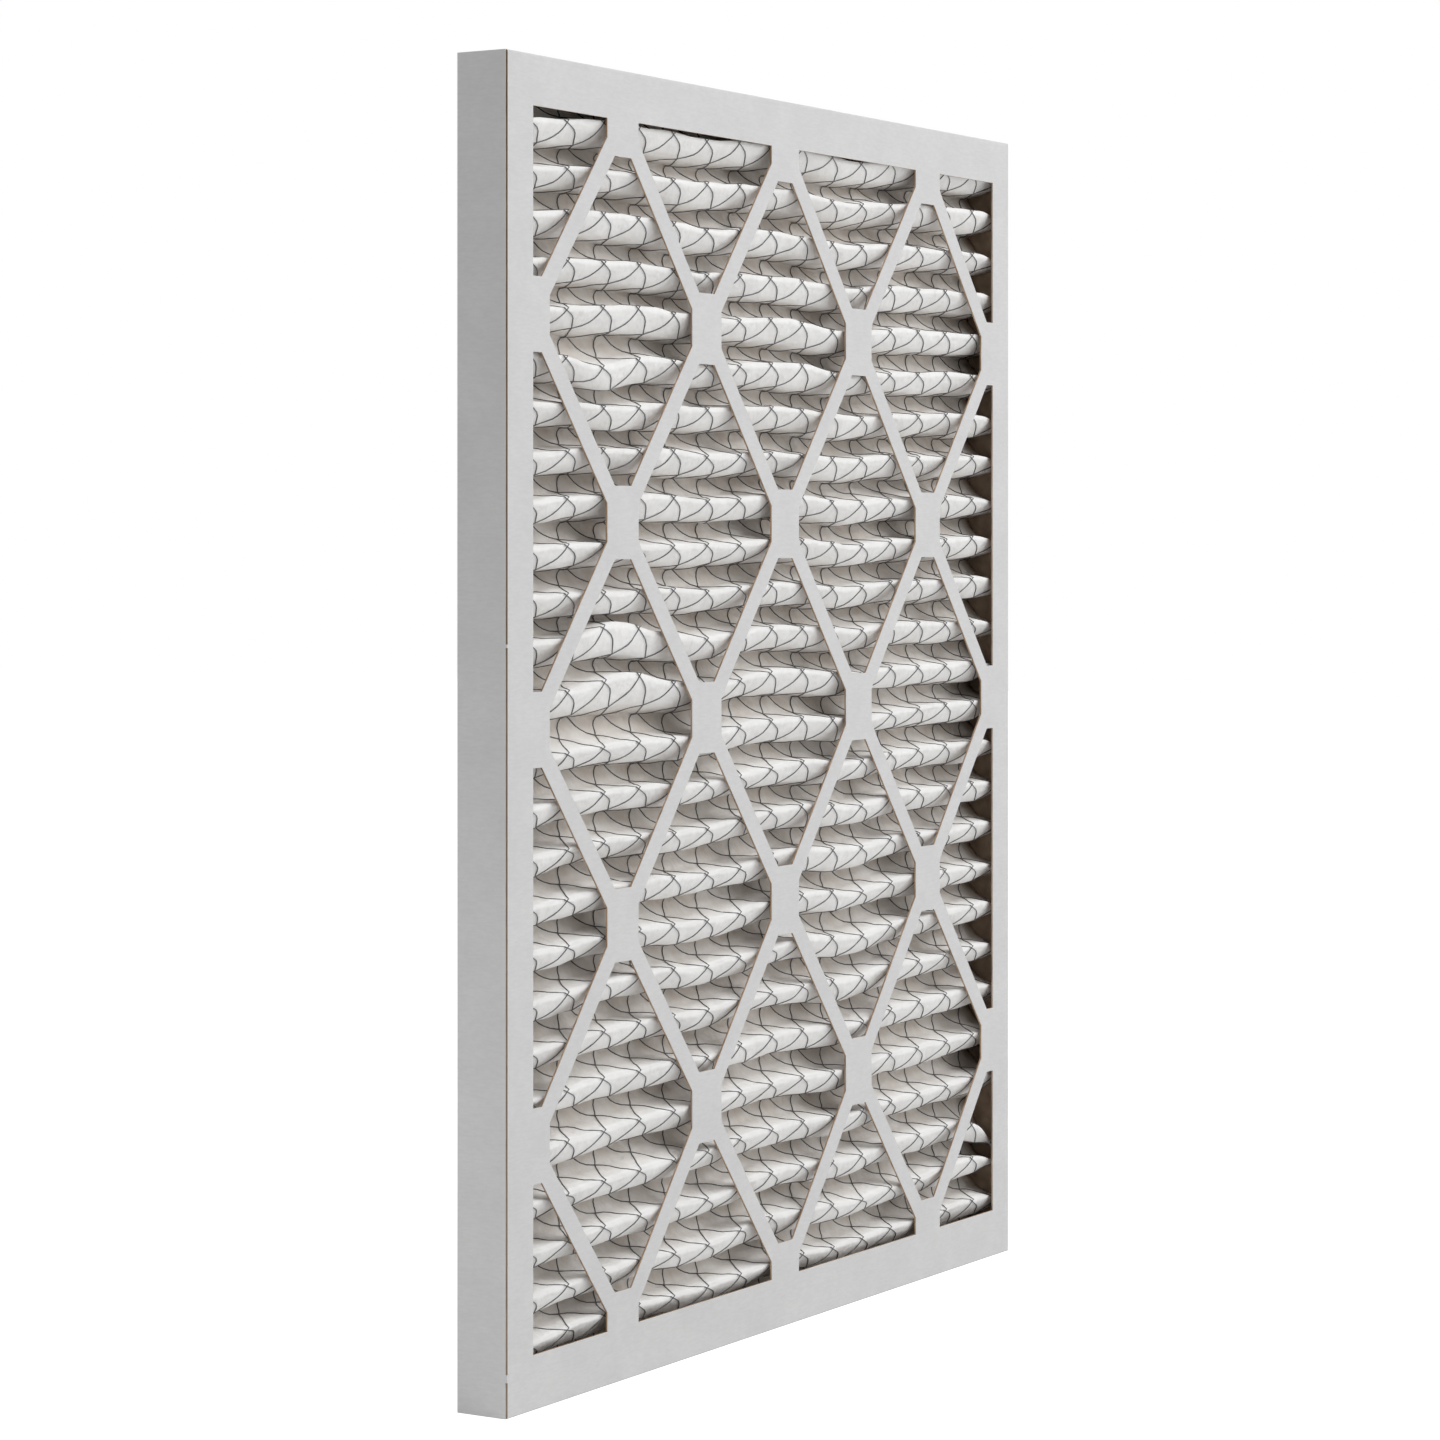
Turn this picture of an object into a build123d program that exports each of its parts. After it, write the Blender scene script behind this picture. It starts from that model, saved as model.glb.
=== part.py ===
from build123d import *

import os
from math import acos, hypot, pi, tan

# Pleated panel air filter, nominal 16 x 20 x 1 inch.
#
# A pack of pleated non-woven media, backed on its air-leaving side by expanded metal, sits in a frame
# folded from one die-cut sheet of coated board: front grid, spine and rear grid in a row, with flanges
# that lap on the other three sides. Adhesive seals the pack to the frame all round.
#
# Frame of reference: X across the width, Y through the thickness (the air-leaving face looks to -Y),
# Z up the height. The origin is at the bottom centre of the frame. Millimetres.

# ---- the frame board ----
width = 393.7  # across the face
height = 495.3
depth = 22.225  # outside thickness of the filter
board = 0.8  # thickness of the coated board
fold_radius = 0.7  # outside radius of a creased fold
score_depth = 0.6  # how deep the cut score along the front fold of the spine goes into the board
low_nick = 2.9  # length of the uncut bridge near the bottom of the cut score
low_nick_height = 14.6
high_nick = 1.3  # length of the one above the middle
high_nick_height = 279.4
corner_slit = 0.4  # slit between neighbouring flanges at a corner
lap_gap = 0.3  # glue line between an outer and an inner flange
rear_flange = 18.5  # how far the inner flanges run forward from the rear face

# ---- the diagonal grid cut in both faces ----
left_border = 16.9
right_border = 15.3
top_border = 18.8
bottom_border = 20.3
cells_across = 3  # whole lattice cells across the width
cells_up = 3  # whole lattice cells up the height
pad_width = 21.6  # board left between two windows side by side, at a lattice node
pad_height = 27.8  # board left between two windows one above the other
window_side = 14.6  # straight upright edge at each side of a window
window_end = 11.4  # straight level edge at the top and bottom of a window

# ---- the pleated media ----
media = 1.2  # thickness of the non-woven
ridges = 28  # front folds from top to bottom
ridge_rise = 7.6  # height of the front of a ridge, from its fold to its bend
ridge_slant = 6.0  # how far that front leans back
end_leg = 10.0  # how far each end of the media runs back along the frame
pack_gap = 0.45  # free space between the pack and each grid

# ---- the expanded-metal backing ----
strand_width = 0.6
strand = 0.4  # thickness of the metal
mesh_pitch = 24.65  # from one node to the next along a row
mesh_start = 3.6  # from the right end of the pleats to the first column of nodes
tie_column = 8  # the column of nodes whose strands are carried on through the folds
node_lap = 0.2  # how far a strand that comes round a fold runs into the node there

# ---- the adhesive ----
side_bead = 1.0  # thickness of the adhesive between a pleat end and the frame
end_bead = 0.6  # thickness of the adhesive between an end leg and the frame
bead_clear = 0.2  # the beads stop this far short of their neighbours

# ---- places that follow from the sizes above ----
front_face = -depth / 2
rear_face = depth / 2
front_inner = front_face + board
rear_inner = rear_face - board
left_inner = -width / 2 + board
lap = 2 * board + lap_gap  # two flanges and the glue between them
right_inner = width / 2 - lap
top_inner = height - lap
bottom_inner = lap
media_left = left_inner + side_bead
media_right = right_inner - side_bead
media_width = media_right - media_left

# Middle of the sheet at the front folds and at the rear folds
fold_front = front_inner + pack_gap + strand + media / 2
fold_rear = rear_inner - pack_gap - media / 2
top_leg = top_inner - end_bead - media / 2
bottom_leg = bottom_inner + end_bead + media / 2
pleat_pitch = (top_leg - bottom_leg - ridge_rise) / (ridges - 1)

# One pleat, downwards from its front fold, as (y, drop) pairs of the middle of the sheet
fold = (fold_front, 0.0)
bend = (fold_front + ridge_slant, ridge_rise)
valley_fold = (fold_rear, pleat_pitch / 2)
valley_bend = (fold_rear - ridge_slant, pleat_pitch / 2 + ridge_rise)
next_fold = (fold_front, pleat_pitch)

# ---- the lattice of windows ----
windows_left = -width / 2 + left_border
windows_right = width / 2 - right_border
windows_top = height - top_border
half_x = (windows_right - windows_left) / (2 * cells_across)
half_z = (windows_top - bottom_border) / (2 * cells_up)


def window_centres():
    """Centres of all windows, the ones that the border cuts in half among them."""
    centres = []
    for i in range(2 * cells_across + 1):
        for j in range(2 * cells_up + 1):
            if (i + j) % 2 == 0:
                centres.append((windows_left + i * half_x, bottom_border + j * half_z))
    return centres


def window_corners():
    """The eight corners of a whole window, about its centre."""
    reach_x = half_x - pad_width / 2
    reach_z = half_z - pad_height / 2
    side = window_side / 2
    end = window_end / 2
    quarter = [(reach_x, side), (end, reach_z)]
    left_quarter = [(-x, z) for x, z in reversed(quarter)]
    upper = quarter + left_quarter
    return upper + [(-x, -z) for x, z in upper]


# Sketches on this plane have x to the right and y up when the air-leaving face is looked at
facing = Plane(origin=(0, 0, 0), x_dir=(1, 0, 0), z_dir=(0, -1, 0))

with BuildSketch(facing) as windows:
    with Locations(*window_centres()):
        Polygon(*window_corners(), align=None)
    with Locations(((windows_left + windows_right) / 2, (bottom_border + windows_top) / 2)):
        Rectangle(windows_right - windows_left, windows_top - bottom_border, mode=Mode.INTERSECT)


def span(low, high):
    """The size and the middle of a box between two corners."""
    size = [b - a for a, b in zip(low, high)]
    middle = [(a + b) / 2 for a, b in zip(low, high)]
    return size, middle


def block(low, high, mode=Mode.ADD):
    """A box between two corners, in the part that is being built."""
    size, middle = span(low, high)
    with Locations(tuple(middle)):
        Box(*size, mode=mode)


# ---- the rear grid with its three inner flanges ----
inner_right = width / 2 - board - lap_gap
inner_top = height - board - lap_gap
inner_bottom = board + lap_gap
flange_front = rear_face - rear_flange

with BuildPart() as rear_tray:
    block((-width / 2, flange_front, inner_bottom), (inner_right, rear_face, inner_top))
    fillet(rear_tray.edges().group_by(Axis.Y)[-1], fold_radius)
    block(
        (left_inner - 2 * board, flange_front, bottom_inner),
        (right_inner, rear_inner, top_inner),
        Mode.SUBTRACT,
    )
    for low_z, high_z in ((inner_bottom, bottom_inner), (top_inner, inner_top)):
        block((-width / 2, flange_front, low_z), (left_inner + corner_slit, rear_inner, high_z), Mode.SUBTRACT)
    for low_z, high_z in (
        (bottom_inner, bottom_inner + corner_slit),
        (top_inner - corner_slit, top_inner),
    ):
        block((right_inner, flange_front, low_z), (inner_right, rear_inner, high_z), Mode.SUBTRACT)

# ---- the frame: front grid, spine and outer flanges, joined to the rear grid along the spine ----
with BuildPart() as frame:
    block((-width / 2, front_face, 0), (width / 2, rear_face, height))
    front_edges = frame.edges().group_by(Axis.Y)[0]
    creased = front_edges.filter_by(Axis.X) + front_edges.filter_by(Axis.Z).sort_by(Axis.X)[-1:]
    rear_edges = frame.edges().group_by(Axis.Y)[-1]
    creased += rear_edges.filter_by(Axis.Z).sort_by(Axis.X)[:1]
    fillet(creased, fold_radius)
    block((left_inner, front_inner, board), (width / 2 - board, rear_face, height - board), Mode.SUBTRACT)
    for low_z, high_z in ((0, board), (height - board, height)):
        block((left_inner, front_inner, low_z), (left_inner + corner_slit, rear_face, high_z), Mode.SUBTRACT)
    for low_z, high_z in (
        (board, board + corner_slit),
        (height - board - corner_slit, height - board),
    ):
        block((width / 2 - board, front_inner, low_z), (width / 2, rear_face, high_z), Mode.SUBTRACT)
    add(rear_tray.part)
    # The windows of both grids
    with BuildSketch(facing.offset(-rear_face - board)):
        add(windows.sketch)
    extrude(amount=depth + 2 * board, mode=Mode.SUBTRACT)
    # The cut score along the front fold of the spine, with its uncut bridges
    score_front = front_face + score_depth
    for low_z, high_z in (
        (0, low_nick_height - low_nick / 2),
        (low_nick_height + low_nick / 2, high_nick_height - high_nick / 2),
        (high_nick_height + high_nick / 2, height),
    ):
        block((-width / 2, front_face, low_z), (-width / 2 + score_depth, score_front, high_z), Mode.SUBTRACT)

frame.part.label = "frame"

# ---- the pleated media: one sheet, folded front to rear all the way down ----
def turn_between(first, second):
    """The angle that the sheet turns through between two stretches, given as (y, drop) runs."""
    cosine = (first[0] * second[0] + first[1] * second[1]) / (hypot(*first) * hypot(*second))
    return acos(cosine)


def run(start, end):
    """The (y, drop) run from one fold to the next."""
    return end[0] - start[0], end[1] - start[1]


bend_turn = turn_between(run(fold, bend), run(bend, valley_fold))
fold_turn = turn_between(run(bend, valley_fold), run(valley_fold, valley_bend))
pressed_edge = media / 2 * (tan(fold_turn / 2) - tan(fold_turn / 4))

across = Plane(origin=(media_left, 0, 0), x_dir=(0, 1, 0), z_dir=(1, 0, 0))
middle_line = [(fold_front + end_leg, top_leg)]
for ridge in range(ridges):
    top = top_leg - ridge * pleat_pitch
    last = ridge == ridges - 1
    for y, drop in (fold, bend) if last else (fold, bend, valley_fold, valley_bend):
        middle_line.append((y, top - drop))
middle_line.append((fold_front + ridge_slant + end_leg, bottom_leg))

with BuildPart() as pleated_media:
    with BuildSketch(across) as pleats:
        with BuildLine():
            Polyline(*middle_line)
            offset(amount=media / 2, kind=Kind.INTERSECTION, side=Side.BOTH, mode=Mode.REPLACE)
        make_face()
        corners = pleats.vertices()
        front_tips = corners.filter_by_position(Axis.X, -depth, fold_front - media / 2)
        rear_tips = corners.filter_by_position(Axis.X, fold_rear + media / 2, depth)
        chamfer(front_tips + rear_tips, pressed_edge)
    extrude(amount=media_width)

pleated_media.part.label = "pleated_media"


# ---- the expanded-metal backing on the air-leaving side of the media ----
class Facet:
    """A flat stretch of the sheet's front surface, between two of its folds.

    Its sketch plane has x across the filter and y up the stretch, so that the far fold is at y = -length.
    """

    def __init__(self, start, end):
        self.length = hypot(*run(start, end))
        along_y, along_drop = [step / self.length for step in run(start, end)]
        normal = Vector(0, -along_drop, -along_y)
        self.plane = Plane(
            origin=Vector(0, start[0], -start[1]) + normal * media / 2,
            x_dir=(1, 0, 0),
            z_dir=normal,
        )


def round_fold(turn):
    """How far a strand runs on past a fold that it passes on the outside, to meet the next strand."""
    return (media / 2 + strand) * tan(turn / 2)


def into_fold(turn):
    """How far a strand stops short of a fold that it passes on the inside, clear of the next stretch."""
    corner = media / 2 * tan(turn / 2)
    return corner + strand * max(0, 1 / tan(pi - turn))


ridge_front = Facet(fold, bend)
underside = Facet(bend, valley_fold)
valley_front = Facet(valley_fold, valley_bend)
topside = Facet(valley_bend, next_fold)

# The narrow pressed edge at the next front fold, square to the middle of its turn
tip_half = round_fold(fold_turn / 2)
tip_normal = (topside.plane.z_dir + ridge_front.plane.z_dir).normalized()
tip_plane = Plane(
    origin=Vector(0, fold_front, -pleat_pitch) + tip_normal * media / 2,
    x_dir=(1, 0, 0),
    z_dir=tip_normal,
)

# Nodes stand in columns on the sharp folds, and half a pitch aside on the bends
last_node = int((media_width - mesh_start) / (mesh_pitch / 2))
strand_slope = mesh_pitch / 2 / ridge_front.length
strand_reach = strand_width / 2 * hypot(1, 1 / strand_slope)


def zigzag(shift):
    """One edge of the row of strands along a ridge, as far above or below their middle as the shift."""
    points = []
    for node in range(last_node + 1):
        from_fold = ridge_front.length if node % 2 else 0
        points.append((media_right - mesh_start - node * mesh_pitch / 2, shift - from_fold))
    return points


def strand_on(stretch, start_x, end_x, past_start, past_end):
    """One strand laid on a stretch of the sheet, run on past its folds or, where negative, cut short."""
    slope = (end_x - start_x) / stretch.length
    half = strand_width / 2 * hypot(1, slope)
    corners = []
    for distance, side in ((-past_start, -half), (-past_start, half)):
        corners.append((start_x + slope * distance + side, -distance))
    for distance, side in ((stretch.length + past_end, half), (stretch.length + past_end, -half)):
        corners.append((start_x + slope * distance + side, -distance))
    with BuildSketch(stretch.plane) as outline:
        Polygon(*corners, align=None)
    extrude(outline.sketch, amount=strand)


tie_x = media_right - mesh_start - tie_column * mesh_pitch
aside_x = tie_x - mesh_pitch / 2

with BuildPart() as ridge_strands:
    with BuildSketch(ridge_front.plane):
        Polygon(*zigzag(strand_reach), *reversed(zigzag(-strand_reach)), align=None)
    extrude(amount=strand)

with BuildPart() as tie_strands:
    strand_on(underside, aside_x, tie_x, round_fold(bend_turn), -into_fold(fold_turn))
    strand_on(valley_front, tie_x, aside_x, -into_fold(fold_turn), -into_fold(bend_turn))
    strand_on(topside, aside_x, tie_x, -into_fold(bend_turn), tip_half)
    # Round the pressed edge, and into the node of the strands on the next ridge
    with BuildSketch(tip_plane):
        with Locations((tie_x, -node_lap / 2)):
            Rectangle(strand_width, 2 * tip_half + node_lap)
    extrude(amount=strand)

# The first and the last ridge lie behind the borders, where no backing shows
open_ridges = [(0, 0, top_leg - ridge * pleat_pitch) for ridge in range(1, ridges - 1)]
with BuildPart() as wire_backing:
    with Locations(*open_ridges):
        add(ridge_strands.part)
    with Locations(*open_ridges[:-1]):
        add(tie_strands.part)

wire_backing.part.label = "wire_backing"

# ---- the adhesive that seals the four sides of the pack to the frame ----
with BuildPart() as adhesive_left:
    block(
        (left_inner, front_inner + bead_clear, bottom_inner + bead_clear),
        (media_left, rear_inner - bead_clear, top_inner - bead_clear),
    )
adhesive_left.part.label = "adhesive_left"

with BuildPart() as adhesive_right:
    block(
        (media_right, flange_front, bottom_inner + bead_clear),
        (right_inner, rear_inner - bead_clear, top_inner - bead_clear),
    )
adhesive_right.part.label = "adhesive_right"

with BuildPart() as adhesive_top:
    block(
        (media_left + bead_clear, flange_front, top_inner - end_bead),
        (media_right - bead_clear, fold_front + end_leg, top_inner),
    )
adhesive_top.part.label = "adhesive_top"

with BuildPart() as adhesive_bottom:
    block(
        (media_left + bead_clear, fold_front + ridge_slant, bottom_inner),
        (media_right - bead_clear, fold_front + ridge_slant + end_leg, bottom_inner + end_bead),
    )
adhesive_bottom.part.label = "adhesive_bottom"

os.makedirs("parts", exist_ok=True)
for piece in (
    frame,
    pleated_media,
    wire_backing,
    adhesive_left,
    adhesive_right,
    adhesive_top,
    adhesive_bottom,
):
    export_step(piece.part, f"parts/{piece.part.label}.step")
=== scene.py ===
from functools import lru_cache
from math import cos, exp, pi, radians, sin

import bpy
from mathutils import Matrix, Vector
from mathutils.noise import noise


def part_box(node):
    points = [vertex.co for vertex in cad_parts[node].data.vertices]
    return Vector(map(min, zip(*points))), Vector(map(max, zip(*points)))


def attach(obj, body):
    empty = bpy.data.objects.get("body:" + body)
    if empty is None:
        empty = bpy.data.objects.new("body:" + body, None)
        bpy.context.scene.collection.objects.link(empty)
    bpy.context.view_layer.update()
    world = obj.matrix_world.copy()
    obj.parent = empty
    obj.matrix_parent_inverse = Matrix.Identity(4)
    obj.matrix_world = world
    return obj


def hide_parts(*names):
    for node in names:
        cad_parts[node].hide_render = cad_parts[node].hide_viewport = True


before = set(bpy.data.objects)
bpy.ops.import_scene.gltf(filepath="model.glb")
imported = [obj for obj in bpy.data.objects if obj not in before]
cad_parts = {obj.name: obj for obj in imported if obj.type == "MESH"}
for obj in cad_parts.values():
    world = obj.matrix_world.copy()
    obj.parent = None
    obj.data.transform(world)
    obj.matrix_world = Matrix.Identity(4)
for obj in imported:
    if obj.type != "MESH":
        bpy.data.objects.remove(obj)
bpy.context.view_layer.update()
MM = 0.001

# ---- sizes that the visual model shares with the solids ----
BOARD = 0.8 * MM
LAP_GAP = 0.3 * MM
PACK_GAP = 0.45 * MM
MEDIA = 1.2 * MM
STRAND_ROOM = 0.4 * MM
STRAND = 0.32 * MM
SIDE_BEAD = 1.0 * MM
END_BEAD = 0.6 * MM
RIDGES = 28
RIDGE_RISE = 7.6 * MM
RIDGE_SLANT = 6.0 * MM
END_LEG = 10.0 * MM
MESH_PITCH = 24.65 * MM
MESH_START = 3.6 * MM

frame_low, frame_high = (Vector(corner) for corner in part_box("frame"))
lap = 2 * BOARD + LAP_GAP
media_left = frame_low.x + BOARD + SIDE_BEAD
media_right = frame_high.x - lap - SIDE_BEAD
fold_front = frame_low.y + BOARD + PACK_GAP + STRAND_ROOM + MEDIA / 2
fold_rear = frame_high.y - BOARD - PACK_GAP - MEDIA / 2
top_leg = frame_high.z - lap - END_BEAD - MEDIA / 2
bottom_leg = frame_low.z + lap + END_BEAD + MEDIA / 2
pitch = (top_leg - bottom_leg - RIDGE_RISE) / (RIDGES - 1)


# ---- the folds, as the pleater and the packer left them ----
FOLDS = (
    (fold_front, 0.0),
    (fold_front + RIDGE_SLANT, RIDGE_RISE),
    (fold_rear, pitch / 2),
    (fold_rear - RIDGE_SLANT, pitch / 2 + RIDGE_RISE),
)
RIDGE_FOLD, RIDGE_BEND, VALLEY_FOLD, VALLEY_BEND = range(4)
SWAY = 0.9 * MM  # how far neighbouring folds stray up or down together
WAVE_UP = (1.4 * MM, 1.3 * MM, 1.0 * MM, 1.2 * MM)  # how far each kind of fold strays on its own
WAVE_BACK = (0.7 * MM, 1.0 * MM, 0.4 * MM, 1.0 * MM)  # and through the thickness
WAVE_LENGTH = 0.045
RIPPLE = 0.8 * MM  # the shorter waves along a fold
RIPPLE_LENGTH = 0.014
PUCKER = 0.5 * MM  # and between two folds
PUCKER_LENGTH = 0.009
# Each kind of noise has a seed of its own
WAVE_SEED, BACK_SEED, SWAY_SEED, STRAY_SEED, RIPPLE_SEED, PUCKER_SEED = 0.5, 2.5, 7.5, 11.5, 17.5, 21.5

# How far the pleats slipped up the pack: ridge, then the lift at its left end, middle and right end
SLIPS = (
    (0, 0.0, 1.0, 2.5),
    (1, -1.0, 2.6, 5.6),
    (2, 0.5, 2.4, 6.8),
    (3, 1.0, 2.4, 6.2),
    (5, 2.2, 2.8, 5.2),
    (10, 2.5, 3.2, 5.2),
    (12, 3.0, 3.2, 4.2),
    (13, 1.5, 2.6, 4.4),
    (14, -2.4, 1.0, 5.0),
    (18, -2.8, 0.4, 3.8),
    (21, -2.8, -0.4, 3.0),
    (22, -4.0, -1.4, 1.0),
    (23, -5.0, -2.2, -0.5),
    (25, -4.5, -2.6, -1.5),
    (26, -2.8, -2.6, -2.4),
    (27, -1.0, -1.0, -1.0),
    (28, 0.0, 0.0, 0.0),
)
# Dips and rises that all pleats share, where they were squeezed between the glue beads: x, reach, lift
SQUEEZES = (
    (-0.178, 0.028, -0.0022),
    (-0.058, 0.026, -0.0013),
    (0.010, 0.040, 0.0010),
    (0.061, 0.026, -0.0020),
)
# At its right end each ridge is pinched to a nose, from the start to the end of this stretch
PINCH = (0.172, 0.197)
PINCH_DROP = (2.8 * MM, -2.4 * MM)  # of its fold and its bend
PINCH_BACK = (3.2 * MM, -2.8 * MM)  # of the same two

# Places where the pleats were pushed aside: ridge, fold, x, reach along x, lift, push back
DENTS = (
    (5, VALLEY_FOLD, -0.128, 0.034, -0.001, 0.0),
    (5, VALLEY_BEND, -0.128, 0.034, -0.0035, 0.0),
    (6, RIDGE_FOLD, -0.130, 0.034, -0.0048, 0.0005),
    (6, RIDGE_BEND, -0.122, 0.034, -0.0055, -0.001),
    (6, VALLEY_FOLD, -0.122, 0.034, -0.0020, 0.0),
    (6, VALLEY_BEND, -0.122, 0.034, -0.0030, 0.0),
    (7, RIDGE_FOLD, -0.118, 0.034, -0.0025, 0.0),
    (7, RIDGE_BEND, -0.118, 0.034, -0.0020, 0.0),
    (11, VALLEY_BEND, -0.116, 0.030, 0.0042, 0.0),
    (12, RIDGE_FOLD, -0.118, 0.030, 0.0060, 0.0005),
    (12, RIDGE_BEND, -0.112, 0.032, 0.0020, -0.0015),
    (12, VALLEY_FOLD, -0.108, 0.032, 0.0015, 0.0),
    (12, VALLEY_BEND, -0.108, 0.032, 0.0040, 0.0),
    (13, RIDGE_FOLD, -0.112, 0.032, 0.0045, 0.0),
    (13, RIDGE_BEND, -0.106, 0.032, 0.0010, 0.0),
    (23, VALLEY_FOLD, 0.196, 0.034, -0.0050, 0.0),
    (23, VALLEY_BEND, 0.196, 0.034, -0.0090, 0.0),
    (24, RIDGE_FOLD, 0.198, 0.034, -0.0140, 0.0015),
    (24, RIDGE_BEND, 0.198, 0.034, -0.0100, 0.0),
    (24, VALLEY_FOLD, 0.198, 0.034, -0.0030, 0.0),
    (24, VALLEY_BEND, 0.198, 0.034, -0.0040, 0.0),
    (25, RIDGE_FOLD, 0.198, 0.034, -0.0020, 0.0),
)


def slip(place, x):
    """How far the sheet slipped up, at a place counted in ridges from the top."""
    across = x / media_right
    lift = 0.0
    for (above, *lifts), (below, *next_lifts) in zip(SLIPS, SLIPS[1:]):
        if above <= place < below:
            share = (place - above) / (below - above)
            left, middle, right = (a + (b - a) * share for a, b in zip(lifts, next_lifts))
            lift = MM * (middle + across * (right - middle if across > 0 else middle - left))
    for squeeze_x, reach, change in SQUEEZES:
        lift += change * exp(-(((x - squeeze_x) / reach) ** 2))
    return lift


def fold_at(ridge, fold, x):
    """(y, z) of a fold of the sheet's middle surface, at a place across the filter."""
    base_y, drop = FOLDS[fold]
    strand_row = 4 * ridge + fold
    along = x / WAVE_LENGTH
    wave = noise(Vector((along, 3.7 * strand_row, WAVE_SEED)))
    shared = noise(Vector((0.8 * along, 0.22 * (ridge + fold / 4), SWAY_SEED)))
    back = noise(Vector((along + 40, 2.9 * strand_row, BACK_SEED)))
    y = base_y + WAVE_BACK[fold] * (back if fold in (RIDGE_BEND, VALLEY_BEND) else abs(back))
    if fold == VALLEY_FOLD:
        y = base_y - WAVE_BACK[fold] * abs(back)
    ripple = noise(Vector((x / RIPPLE_LENGTH, 4.3 * strand_row, RIPPLE_SEED)))
    z = top_leg - ridge * pitch - drop + slip(ridge + fold / 4, x)
    z += SWAY * shared + WAVE_UP[fold] * wave + RIPPLE * ripple
    if fold in (RIDGE_FOLD, RIDGE_BEND):
        start, end = PINCH
        share = min(max((x - start) / (end - start), 0), 1)
        z -= PINCH_DROP[fold] * share**2 * (3 - 2 * share)
        y += PINCH_BACK[fold] * share**2
    for dent_ridge, dent_fold, dent_x, reach, lift, push in DENTS:
        if (ridge, fold) == (dent_ridge, dent_fold):
            fade = exp(-2 * ((x - dent_x) / reach) ** 2)
            y += push * fade
            z += lift * fade
    # No fold goes past the end legs, which lie against the end walls
    return Vector((y, min(max(z, bottom_leg), top_leg)))


BULGE = (0.35 * MM, 0.25 * MM, -0.35 * MM, -0.25 * MM)  # of each kind of stretch, out of the front surface
MITRE_LIMIT = 0.3  # keeps the concave side of a very sharp fold close
SHARES = (0.18, 0.5, 0.82)  # where the front of a stretch between two folds is divided
REAR_SHARE = 0.5
LAST_FOLD = 4 * RIDGES - 3


@lru_cache(maxsize=None)
def chain(index, x):
    """(y, z) of the folds down the sheet by number, with the two end legs before and after them."""
    if index < 0:
        return Vector((chain(0, x).x + END_LEG, top_leg))
    if index > LAST_FOLD:
        return Vector((chain(LAST_FOLD, x).x + END_LEG, bottom_leg))
    return fold_at(*divmod(index, 4), x)


def on_stretch(index, share, x):
    """(y, z) and the direction out of the front surface, at a share of the way to the next fold."""
    run = chain(index + 1, x) - chain(index, x)
    out = Vector((run.y, -run.x)).normalized()
    pucker = PUCKER * noise(Vector((x / PUCKER_LENGTH, 6.1 * index + 1.6 * share, PUCKER_SEED)))
    return chain(index, x) + run * share + out * (BULGE[index % 4] + pucker) * sin(pi * share), out


def at_fold(index, x):
    """(y, z), the direction out of the front surface, and half the turn of the sheet, at a fold."""
    before = (chain(index, x) - chain(index - 1, x)).normalized()
    after = (chain(index + 1, x) - chain(index, x)).normalized()
    across = before + after
    return chain(index, x), Vector((across.y, -across.x)).normalized(), before.angle(after) / 2


def half_media(index, half_turn, front):
    """How far a side of the sheet lies from the middle of a fold."""
    convex_in_front = index % 4 in (RIDGE_FOLD, RIDGE_BEND)
    if convex_in_front == front:
        return MEDIA / 2
    return MEDIA / 2 / max(cos(half_turn), MITRE_LIMIT)


def media_rows(x):
    """Front and rear points of the sheet down the filter, at one place across it."""
    up = Vector((0, 1)) * MEDIA / 2
    front = [(x, *(chain(-1, x) + up))]
    rear = [(x, *(chain(-1, x) - up))]
    for index in range(LAST_FOLD + 1):
        middle, out, half_turn = at_fold(index, x)
        front.append((x, *(middle + out * half_media(index, half_turn, True))))
        rear.append((x, *(middle - out * half_media(index, half_turn, False))))
        if index < LAST_FOLD:
            for share in SHARES:
                middle, out = on_stretch(index, share, x)
                front.append((x, *(middle + out * MEDIA / 2)))
            middle, out = on_stretch(index, REAR_SHARE, x)
            rear.append((x, *(middle - out * MEDIA / 2)))
    front.append((x, *(chain(LAST_FOLD + 1, x) - up)))
    rear.append((x, *(chain(LAST_FOLD + 1, x) + up)))
    return front, rear


def mesh_object(name, vertices, faces, smooth=True):
    """A new object with one mesh."""
    mesh = bpy.data.meshes.new(name)
    mesh.from_pydata(vertices, [], faces)
    mesh.validate()
    mesh.polygons.foreach_set("use_smooth", [smooth] * len(mesh.polygons))
    made = bpy.data.objects.new(name, mesh)
    bpy.context.scene.collection.objects.link(made)
    return made


MEDIA_COLUMNS = 131


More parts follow.
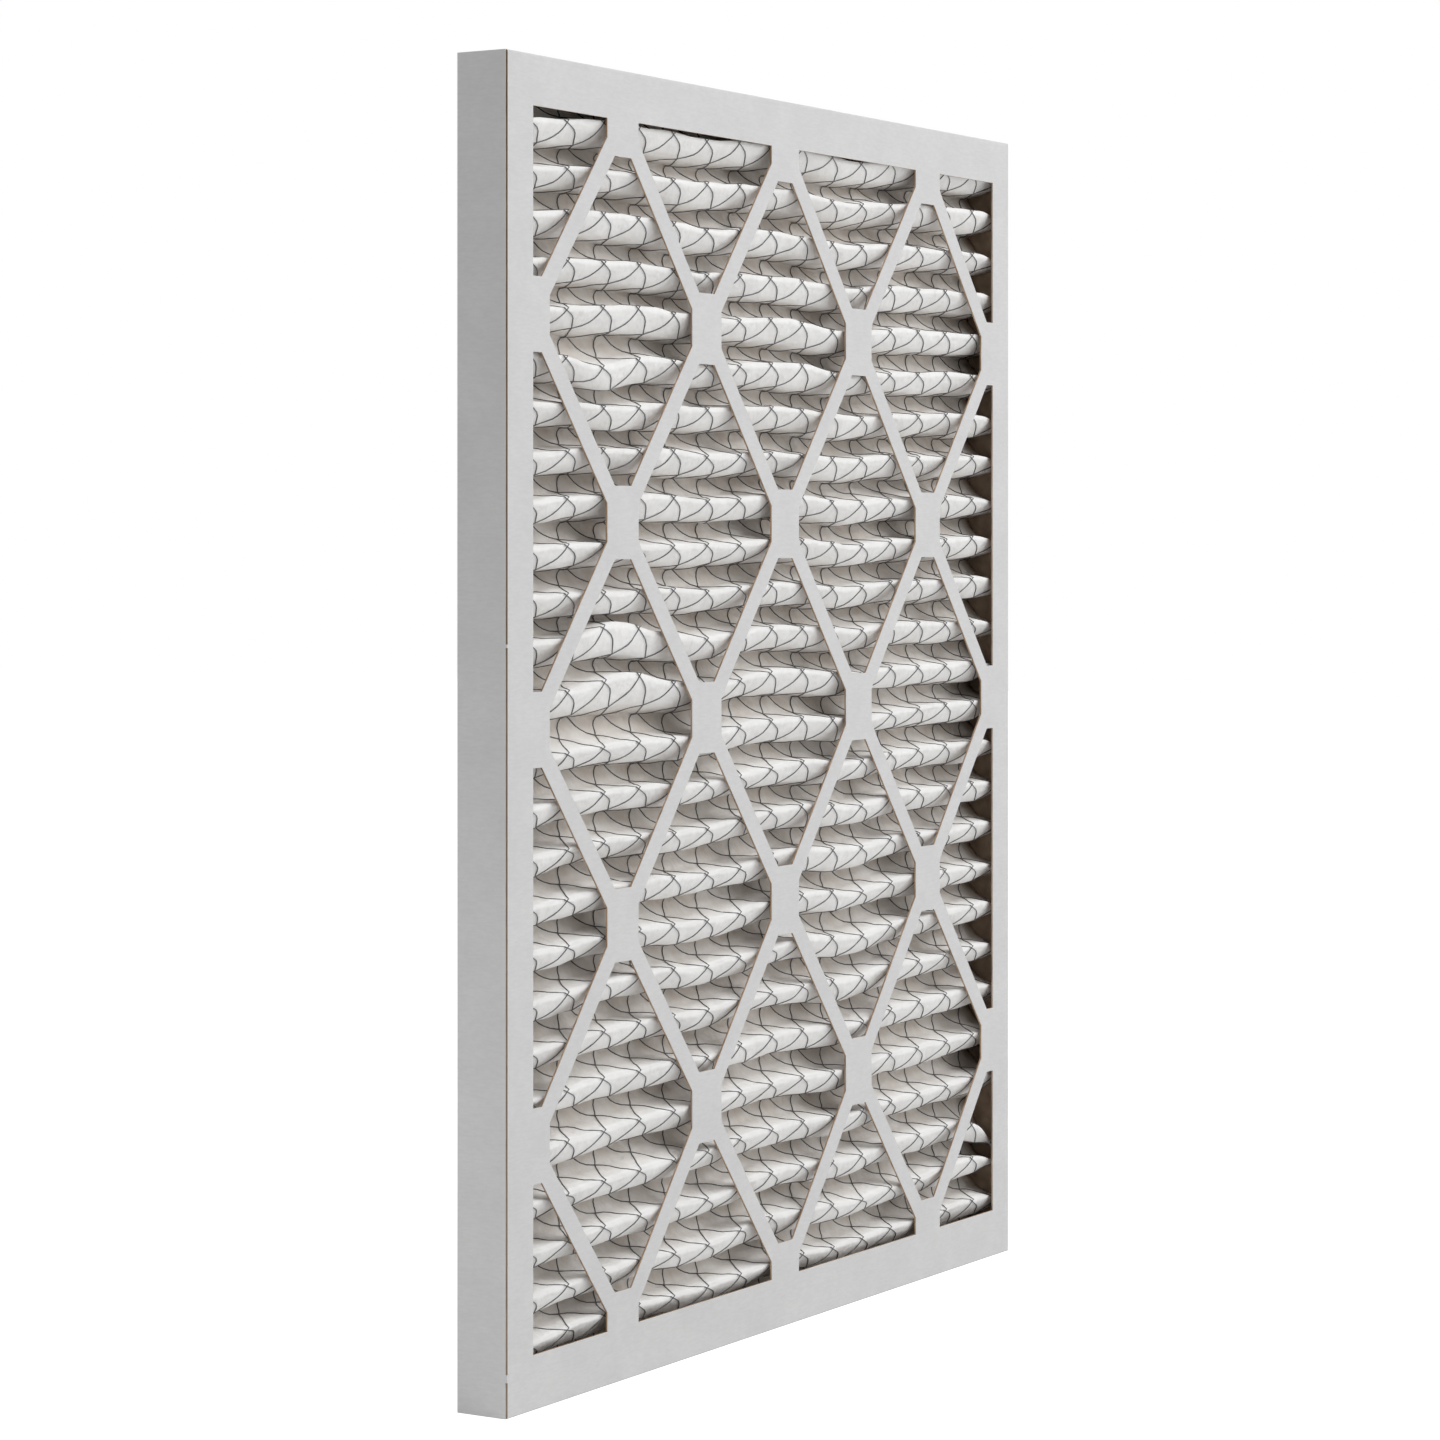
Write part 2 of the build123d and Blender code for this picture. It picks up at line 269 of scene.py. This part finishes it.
def make_media():
    """The pleated sheet: front and rear surface, joined by a rim all round."""
    vertices = []
    faces = []
    edges = []
    for column in range(MEDIA_COLUMNS):
        x = media_left + (media_right - media_left) * column / (MEDIA_COLUMNS - 1)
        sides = []
        for rows in media_rows(x):
            sides.append(range(len(vertices), len(vertices) + len(rows)))
            vertices += rows
        edges.append(sides)
    for (front, rear), (next_front, next_rear) in zip(edges, edges[1:]):
        for row in range(len(front) - 1):
            faces.append((front[row], front[row + 1], next_front[row + 1], next_front[row]))
        for row in range(len(rear) - 1):
            faces.append((rear[row], next_rear[row], next_rear[row + 1], rear[row + 1]))
        faces.append((front[0], next_front[0], next_rear[0], rear[0]))
        faces.append((front[-1], rear[-1], next_rear[-1], next_front[-1]))
    # At both ends, each rear point meets every other front point
    for front, rear, turn in ((*edges[0], 1), (*edges[-1], -1)):
        for row in range(len(rear) - 1):
            low = 0 if row == 0 else 2 * row - 1
            high = len(front) - 1 if row == len(rear) - 2 else 2 * row + 1
            ring = [*front[low : high + 1], rear[row + 1], rear[row]]
            faces.append(tuple(ring[::-turn]))
    return mesh_object("media_pleats", vertices, faces)


# ---- the expanded metal ----
STRAND_HALF_WIDTH = 0.17 * MM
STRAND_STEPS = 6
NODE_STRAY = 0.7 * MM  # how far a node strays along its fold
EARLY, LATE, FLAT_ENDS, EVEN = range(4)
GOING_RIGHT = (EARLY, EVEN, LATE, FLAT_ENDS)  # how a strand runs across each kind of stretch
GOING_LEFT = (LATE, FLAT_ENDS, EARLY, EVEN)
BOW, BOW_FADE = 1.7, 1.5  # how soon an early strand goes across, and how that wears off
FLATNESS = 0.85  # how level a strand leaves and meets its nodes
CROSSING = (0.8 * MM, -2.0 * MM)  # how far off its node a strand passes a ridge, going left and right


def sideways(course, share):
    """How much of its way across a strand has gone, at a share of its way down a stretch."""
    if course == EARLY:
        return share + share * (1 - share) * (BOW - BOW_FADE * share)
    if course == LATE:
        return 1 - sideways(EARLY, 1 - share)
    if course == FLAT_ENDS:
        return share + FLATNESS * sin(2 * pi * share) / (2 * pi)
    return share


def node_x(column, row):
    """Where a node stands across the filter, in half pitches from the right."""
    stray = NODE_STRAY * noise(Vector((5.3 * column, 7.1 * row, STRAY_SEED)))
    return media_right - MESH_START - column * MESH_PITCH / 2 + stray


def on_front(index, share, x):
    """Middle of a strand that lies on the front surface, and the direction out of it."""
    if share in (0, 1):
        middle, out, half_turn = at_fold(index + share, x)
        gap = half_media(index + share, half_turn, True) + STRAND / 2
    else:
        middle, out = on_stretch(index, share, x)
        gap = MEDIA / 2 + STRAND / 2
    return Vector((x, *(middle + out * gap))), Vector((0, *out))


def add_strand(vertices, faces, points, outs):
    """A flat-sided strand through the points, closed at both ends."""
    first = len(vertices)
    for step, (point, out) in enumerate(zip(points, outs)):
        ahead = points[min(step + 1, len(points) - 1)] - points[max(step - 1, 0)]
        side = ahead.cross(out).normalized() * STRAND_HALF_WIDTH
        lift = out * STRAND / 2
        vertices += [point - side - lift, point + side - lift]
        vertices += [point + side + lift, point - side + lift]
    for step in range(len(points) - 1):
        low = first + 4 * step
        for corner in range(4):
            after = (corner + 1) % 4
            faces.append((low + corner, low + 4 + corner, low + 4 + after, low + after))
    top = first + 4 * (len(points) - 1)
    faces.append((first, first + 1, first + 2, first + 3))
    faces.append((top + 3, top + 2, top + 1, top))


def make_wires():
    """Every strand of the mesh: four rows to a pleat, from fold to fold."""
    vertices = []
    faces = []
    columns = int((media_right - media_left - MESH_START) / (MESH_PITCH / 2))
    for stretch in range(LAST_FOLD):
        for column in range(-1, columns + 1):
            for start, end in ((column, column + 1), (column + 1, column)):
                # Nodes stand in whole columns on the sharp folds and in half columns on the bends
                if start % 2 != stretch % 2:
                    continue
                a, b = node_x(start, stretch), node_x(end, stretch + 1)
                # Strands cross a little below a sharp front fold
                rightwards = b > a
                a += CROSSING[rightwards] if stretch % 4 == RIDGE_FOLD else 0
                b += CROSSING[rightwards] if stretch % 4 == VALLEY_BEND else 0
                if not (media_left < min(a, b) and max(a, b) < media_right):
                    continue
                course = (GOING_RIGHT if rightwards else GOING_LEFT)[stretch % 4]
                points = []
                outs = []
                for step in range(STRAND_STEPS + 1):
                    share = step / STRAND_STEPS
                    x = a + (b - a) * sideways(course, share)
                    share = int(share) if share in (0, 1) else share
                    point, out = on_front(stretch, share, x)
                    points.append(point)
                    outs.append(out)
                add_strand(vertices, faces, points, outs)
    return mesh_object("expanded_metal", vertices, faces, smooth=False)


# ---- materials ----
def new_material(name):
    """A node material with only its output and one principled shader."""
    made = bpy.data.materials.new(name)
    made.use_nodes = True
    nodes = made.node_tree.nodes
    nodes.clear()
    shader = nodes.new("ShaderNodeBsdfPrincipled")
    output = nodes.new("ShaderNodeOutputMaterial")
    made.node_tree.links.new(shader.outputs["BSDF"], output.inputs["Surface"])
    return made, shader


class Graph:
    """Short calls for adding nodes to a material."""

    def __init__(self, material):
        self.tree = material.node_tree
        self.coords = self.tree.nodes.new("ShaderNodeTexCoord").outputs["Object"]

    def link(self, source, target):
        if hasattr(source, "is_output"):
            self.tree.links.new(source, target)
        else:
            target.default_value = source

    def math(self, operation, a, b=0.0):
        node = self.tree.nodes.new("ShaderNodeMath")
        node.operation = operation
        self.link(a, node.inputs[0])
        self.link(b, node.inputs[1])
        return node.outputs[0]

    def vector(self, operation, a, b=(0.0, 0.0, 0.0)):
        node = self.tree.nodes.new("ShaderNodeVectorMath")
        node.operation = operation
        self.link(a, node.inputs[0])
        self.link(b, node.inputs[1])
        return node.outputs["Value" if operation == "LENGTH" else "Vector"]

    def axis(self, vector, index):
        node = self.tree.nodes.new("ShaderNodeSeparateXYZ")
        self.link(vector, node.inputs[0])
        return node.outputs[index]

    def map_range(self, value, low, high):
        node = self.tree.nodes.new("ShaderNodeMapRange")
        node.inputs["From Min"].default_value = low
        node.inputs["From Max"].default_value = high
        self.link(value, node.inputs["Value"])
        return node.outputs["Result"]

    def noise(self, scale, detail=3.0, stretch=(1.0, 1.0, 1.0), rough=0.5):
        node = self.tree.nodes.new("ShaderNodeTexNoise")
        node.inputs["Scale"].default_value = scale
        node.inputs["Detail"].default_value = detail
        node.inputs["Roughness"].default_value = rough
        self.link(self.vector("MULTIPLY", self.coords, stretch), node.inputs["Vector"])
        return node.outputs["Fac"]

    def ramp(self, value, *stops):
        node = self.tree.nodes.new("ShaderNodeValToRGB")
        elements = node.color_ramp.elements
        while len(elements) < len(stops):
            elements.new(0.5)
        for element, (place, color) in zip(elements, stops):
            element.position = place
            element.color = (*color, 1.0) if len(color) == 3 else color
        self.link(value, node.inputs["Fac"])
        return node.outputs["Color"]

    def mix(self, share, a, b):
        node = self.tree.nodes.new("ShaderNodeMix")
        node.data_type = "RGBA"
        self.link(share, node.inputs[0])
        self.link(a if hasattr(a, "is_output") else (*a, 1.0), node.inputs[6])
        self.link(b if hasattr(b, "is_output") else (*b, 1.0), node.inputs[7])
        return node.outputs[2]

    def bump(self, height, strength, distance, normal=None):
        node = self.tree.nodes.new("ShaderNodeBump")
        node.inputs["Strength"].default_value = strength
        node.inputs["Distance"].default_value = distance
        self.link(height, node.inputs["Height"])
        if normal is not None:
            self.link(normal, node.inputs["Normal"])
        return node.outputs["Normal"]


FOLD_RADIUS = 0.7 * MM
SCORE = 0.6 * MM  # how deep the front fold of the spine is cut
COAT_DEPTH = 0.12 * MM


def coated_board():
    """White clay coat on the outside of the folded sheet, and unbleached board inside and on cut edges."""
    made, shader = new_material("coated_board")
    graph = Graph(made)
    middle = (frame_low + frame_high) / 2
    core = (frame_high - frame_low) / 2 - Vector((FOLD_RADIUS,) * 3)
    centred = graph.vector("SUBTRACT", graph.coords, tuple(middle))
    past_core = graph.vector("SUBTRACT", graph.vector("ABSOLUTE", centred), tuple(core))
    reach = graph.vector("LENGTH", graph.vector("MAXIMUM", past_core))
    coat = graph.math("GREATER_THAN", reach, FOLD_RADIUS - COAT_DEPTH)
    cloud = graph.noise(60.0, 4.0)
    # Fine short fibres of the board show through the coat, lying across the filter
    lying = graph.noise(1100.0, 3.0, (0.22, 0.22, 1.0), 0.7)
    fleck = graph.noise(1400.0, 2.0)
    white = graph.ramp(cloud, (0.3, (0.585, 0.585, 0.588)), (0.7, (0.62, 0.62, 0.62)))
    shown = graph.ramp(lying, (0.38, (0.18,) * 3), (0.62, (0.0,) * 3))
    white = graph.mix(shown, white, (0.43, 0.425, 0.42))
    white = graph.mix(graph.math("MULTIPLY", fleck, 0.06), white, (0.5, 0.49, 0.47))
    fibre = graph.noise(420.0, 4.0, (1.0, 1.0, 0.22), 0.65)
    dark, mid, pale = (0.25, 0.155, 0.09), (0.42, 0.28, 0.175), (0.56, 0.42, 0.30)
    brown = graph.ramp(fibre, (0.3, dark), (0.55, mid), (0.75, pale))
    # The cut side of the score is brown board painted darker as painted shade deep in its groove, darkest
    # towards the top
    into_x = graph.math("SUBTRACT", graph.axis(graph.coords, 0), frame_low.x)
    into_y = graph.math("SUBTRACT", graph.axis(graph.coords, 1), frame_low.y)
    cut_side = graph.math("LESS_THAN", into_y, SCORE + 0.02 * MM)
    for limit, operation in ((SCORE - 0.05 * MM, "GREATER_THAN"), (SCORE + 0.02 * MM, "LESS_THAN")):
        cut_side = graph.math("MULTIPLY", cut_side, graph.math(operation, into_x, limit))
    height = graph.map_range(graph.axis(graph.coords, 2), frame_low.z, frame_high.z)
    dark, mid, pale = (0.07, 0.045, 0.03), (0.18, 0.145, 0.12), (0.30, 0.25, 0.21)
    painted_groove_shade = graph.ramp(height, (0.0, pale), (0.5, mid), (1.0, dark))
    # Painted shade of the groove replaces the plain brown board on the cut side of the score
    brown = graph.mix(cut_side, brown, painted_groove_shade)
    graph.link(graph.mix(coat, brown, white), shader.inputs["Base Color"])
    rough = graph.math("ADD", graph.math("MULTIPLY", coat, -0.25), 0.85)
    graph.link(rough, shader.inputs["Roughness"])
    grain = graph.bump(graph.noise(900.0, 3.0, (1.0, 1.0, 0.45)), 0.12, 0.05 * MM)
    graph.link(graph.bump(cloud, 0.15, 0.4 * MM, grain), shader.inputs["Normal"])
    return made


END_SHADE_REACH = 9 * MM  # how far the painted dark brown shade reaches along the pleats from their right ends


def filter_media():
    """White non-woven: a mat of fine fibres, cloudy, with painted shade that turns it duller and warmer
    deep in the pleats.
    """
    made, shader = new_material("filter_media")
    graph = Graph(made)
    depth = graph.map_range(graph.axis(graph.coords, 1), fold_front, fold_rear)
    cloud = graph.noise(110.0, 5.0)
    fibre_a = graph.noise(800.0, 4.0, (0.25, 1.0, 1.0), 0.6)
    fibre_b = graph.noise(800.0, 4.0, (1.0, 0.6, 0.3), 0.6)
    fibres = graph.math("MAXIMUM", fibre_a, fibre_b)
    white = graph.ramp(cloud, (0.3, (0.87, 0.865, 0.855)), (0.7, (0.93, 0.93, 0.925)))
    # Painted shade: deeper in the pleats the colour turns to this duller, warmer grey, a painted valley
    # shade with painted brown bounce light
    painted_pleat_shade = graph.ramp(cloud, (0.3, (0.66, 0.60, 0.54)), (0.7, (0.80, 0.77, 0.735)))
    base = graph.mix(graph.ramp(depth, (0.1, (0, 0, 0)), (0.9, (1, 1, 1))), white, painted_pleat_shade)
    base = graph.mix(graph.math("MULTIPLY", fibres, 0.14), base, (0.50, 0.47, 0.43))
    # Painted shade: the right ends of the pleats, deep behind the ridges, are painted dark brown where the
    # border shades them
    painted_end_shade = graph.map_range(graph.axis(graph.coords, 0), media_right - END_SHADE_REACH, media_right - 0.35 * END_SHADE_REACH)
    painted_end_shade = graph.math("MULTIPLY", painted_end_shade, graph.map_range(depth, 0.45, 0.85))
    painted_end_shade = graph.math("MULTIPLY", painted_end_shade, graph.ramp(cloud, (0.25, (0.65,) * 3), (0.6, (1, 1, 1))))
    graph.link(graph.mix(painted_end_shade, base, (0.42, 0.33, 0.26)), shader.inputs["Base Color"])
    shader.inputs["Roughness"].default_value = 0.95
    shader.inputs["Specular IOR Level"].default_value = 0.15
    felt = graph.bump(fibres, 0.35, 0.15 * MM)
    soft = graph.bump(graph.noise(170.0, 2.0), 0.8, 1.6 * MM, felt)
    graph.link(graph.bump(cloud, 0.25, 0.6 * MM, soft), shader.inputs["Normal"])
    return made


def galvanised_steel():
    """Dull grey strands, a little uneven."""
    made, shader = new_material("galvanised_steel")
    graph = Graph(made)
    spangle = graph.noise(900.0, 2.0)
    grey = graph.ramp(spangle, (0.3, (0.08, 0.08, 0.085)), (0.7, (0.17, 0.17, 0.175)))
    graph.link(grey, shader.inputs["Base Color"])
    shader.inputs["Metallic"].default_value = 0.55
    graph.link(graph.math("ADD", graph.math("MULTIPLY", spangle, 0.2), 0.4), shader.inputs["Roughness"])
    graph.link(graph.bump(spangle, 0.2, 0.05 * MM), shader.inputs["Normal"])
    return made


def dried_adhesive():
    """Amber adhesive with a soft gloss, on the brown inside of the board."""
    made, shader = new_material("dried_adhesive")
    graph = Graph(made)
    cloud = graph.noise(150.0, 3.0)
    amber = graph.ramp(cloud, (0.3, (0.21, 0.145, 0.10)), (0.7, (0.36, 0.27, 0.19)))
    graph.link(amber, shader.inputs["Base Color"])
    shader.inputs["Roughness"].default_value = 0.5
    graph.link(graph.bump(cloud, 0.4, 0.4 * MM), shader.inputs["Normal"])
    return made


def give(target, material):
    """Puts one material on an object's every slot."""
    if not target.data.materials:
        target.data.materials.append(material)
    for slot in range(len(target.data.materials)):
        target.data.materials[slot] = material


# ---- the object ----
give(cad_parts["frame"], coated_board())
adhesive = dried_adhesive()
for side in ("left", "right", "top", "bottom"):
    give(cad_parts["adhesive_" + side], adhesive)

media = make_media()
give(media, filter_media())
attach(media, "root")
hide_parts("pleated_media")
developed = sum((chain(i + 1, 0.0) - chain(i, 0.0)).length for i in range(-1, LAST_FOLD + 1))

wires = make_wires()
give(wires, galvanised_steel())
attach(wires, "root")
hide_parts("wire_backing")

# ---- floor, world and lamps ----
WHITE = (1.0, 1.0, 1.0, 1.0)


def seen_directly(tree):
    """1 for what the camera, a gloss or a clear thing sees, and 0 for what only lights the object."""
    path = tree.nodes.new("ShaderNodeLightPath")
    most = path.outputs["Is Camera Ray"]
    for name in ("Is Glossy Ray", "Is Transmission Ray"):
        node = tree.nodes.new("ShaderNodeMath")
        node.operation = "MAXIMUM"
        tree.links.new(most, node.inputs[0])
        tree.links.new(path.outputs[name], node.inputs[1])
        most = node.outputs[0]
    return most


def make_floor(glow):
    """A plain pale floor that takes the object's shadow and otherwise runs into the white behind it."""
    half = 6.0
    corners = [(-half, -half, 0), (half, -half, 0), (half, half, 0), (-half, half, 0)]
    floor = mesh_object("floor", corners, [(0, 1, 2, 3)], smooth=False)
    made = bpy.data.materials.new("floor")
    made.use_nodes = True
    tree = made.node_tree
    tree.nodes.clear()
    lit = tree.nodes.new("ShaderNodeBsdfDiffuse")
    lit.inputs["Color"].default_value = (0.8, 0.8, 0.8, 1.0)
    shown = tree.nodes.new("ShaderNodeEmission")
    shown.inputs["Color"].default_value = WHITE
    share = tree.nodes.new("ShaderNodeMath")
    share.operation = "MULTIPLY"
    share.inputs[1].default_value = glow
    tree.links.new(seen_directly(tree), share.inputs[0])
    tree.links.new(share.outputs[0], shown.inputs["Strength"])
    total = tree.nodes.new("ShaderNodeAddShader")
    tree.links.new(lit.outputs[0], total.inputs[0])
    tree.links.new(shown.outputs[0], total.inputs[1])
    output = tree.nodes.new("ShaderNodeOutputMaterial")
    tree.links.new(total.outputs[0], output.inputs["Surface"])
    give(floor, made)


def make_world(strength):
    """White behind the object, and an even light on it."""
    world = bpy.data.worlds.new("studio")
    bpy.context.scene.world = world
    world.use_nodes = True
    tree = world.node_tree
    tree.nodes.clear()
    lighting = tree.nodes.new("ShaderNodeBackground")
    lighting.inputs["Color"].default_value = WHITE
    lighting.inputs["Strength"].default_value = strength
    shown = tree.nodes.new("ShaderNodeBackground")
    shown.inputs["Color"].default_value = WHITE
    shown.inputs["Strength"].default_value = 1.0
    blend = tree.nodes.new("ShaderNodeMixShader")
    tree.links.new(seen_directly(tree), blend.inputs[0])
    tree.links.new(lighting.outputs[0], blend.inputs[1])
    tree.links.new(shown.outputs[0], blend.inputs[2])
    output = tree.nodes.new("ShaderNodeOutputWorld")
    tree.links.new(blend.outputs[0], output.inputs["Surface"])


def add_lamp(name, place, target, size, power):
    """A soft square lamp aimed at a point."""
    lamp = bpy.data.lights.new(name, "AREA")
    lamp.size = size
    lamp.energy = power
    made = bpy.data.objects.new(name, lamp)
    made.visible_camera = False
    made.location = place
    made.rotation_euler = (Vector(target) - Vector(place)).to_track_quat("-Z", "Y").to_euler()
    bpy.context.scene.collection.objects.link(made)


make_floor(glow=0.75)
make_world(strength=0.53)
centre = (frame_low + frame_high) / 2
add_lamp("overhead", (0.2, -1.4, 1.8), (0.0, -0.5, 0.0), size=1.6, power=25.0)
add_lamp("key", (1.7, -1.9, 0.6), centre, size=1.0, power=5.6)
add_lamp("low", (-0.40, 0.04, 0.10), (frame_low.x, 0.01, 0.08), size=0.18, power=0.068)

# ---- camera ----
IMAGE_SIDE = 1440
FOCAL_PIXELS = 3892.0
SENSOR = 36.0
EYE = Vector((-1.3543, -0.8128, 0.3172))
YAW = 1.01975  # from +Y towards +X
HORIZON_ROW = 541.7

camera_data = bpy.data.cameras.new("camera")
camera_data.sensor_width = SENSOR
camera_data.lens = SENSOR * FOCAL_PIXELS / IMAGE_SIDE
camera_data.shift_y = (HORIZON_ROW - IMAGE_SIDE / 2) / IMAGE_SIDE
camera = bpy.data.objects.new("camera", camera_data)
camera.location = EYE
camera.rotation_euler = (radians(90), 0, -YAW)
bpy.context.scene.collection.objects.link(camera)
bpy.context.scene.camera = camera
bpy.context.scene.view_settings.view_transform = "Standard"
